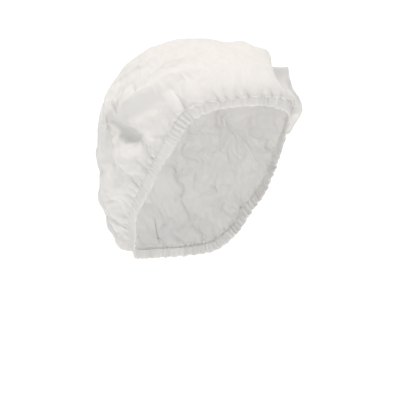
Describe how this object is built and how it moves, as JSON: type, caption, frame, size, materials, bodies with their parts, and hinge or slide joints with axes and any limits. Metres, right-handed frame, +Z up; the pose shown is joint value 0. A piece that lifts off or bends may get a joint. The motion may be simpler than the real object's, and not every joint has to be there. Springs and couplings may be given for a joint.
{
  "type": "disposable hairnet",
  "caption": "Disposable bouffant hairnet of thin white nonwoven cloth, puffed over the head, with a pleated elastic hem round the face and nape.",
  "frame": {"origin": "where the top of the wearer's head touches the inside of the crown", "axes": "+Z up the standing head, -Y out through the face opening, -X to the wearer's right"},
  "size_m": [0.1743, 0.206, 0.2093],
  "materials": {
    "nonwoven_cloth": "matte, thin, lets some light through",
    "hem_cloth": "matte, folded double and gathered",
    "elastic": "matte woven",
    "welded_cloth": "matte, pressed flat along its weld"
  },
  "bodies": {
    "root": {"crown": "nonwoven_cloth", "hem_casing": "hem_cloth", "elastic_band": "elastic", "end_tab": "welded_cloth"}
  },
  "joints": []
}
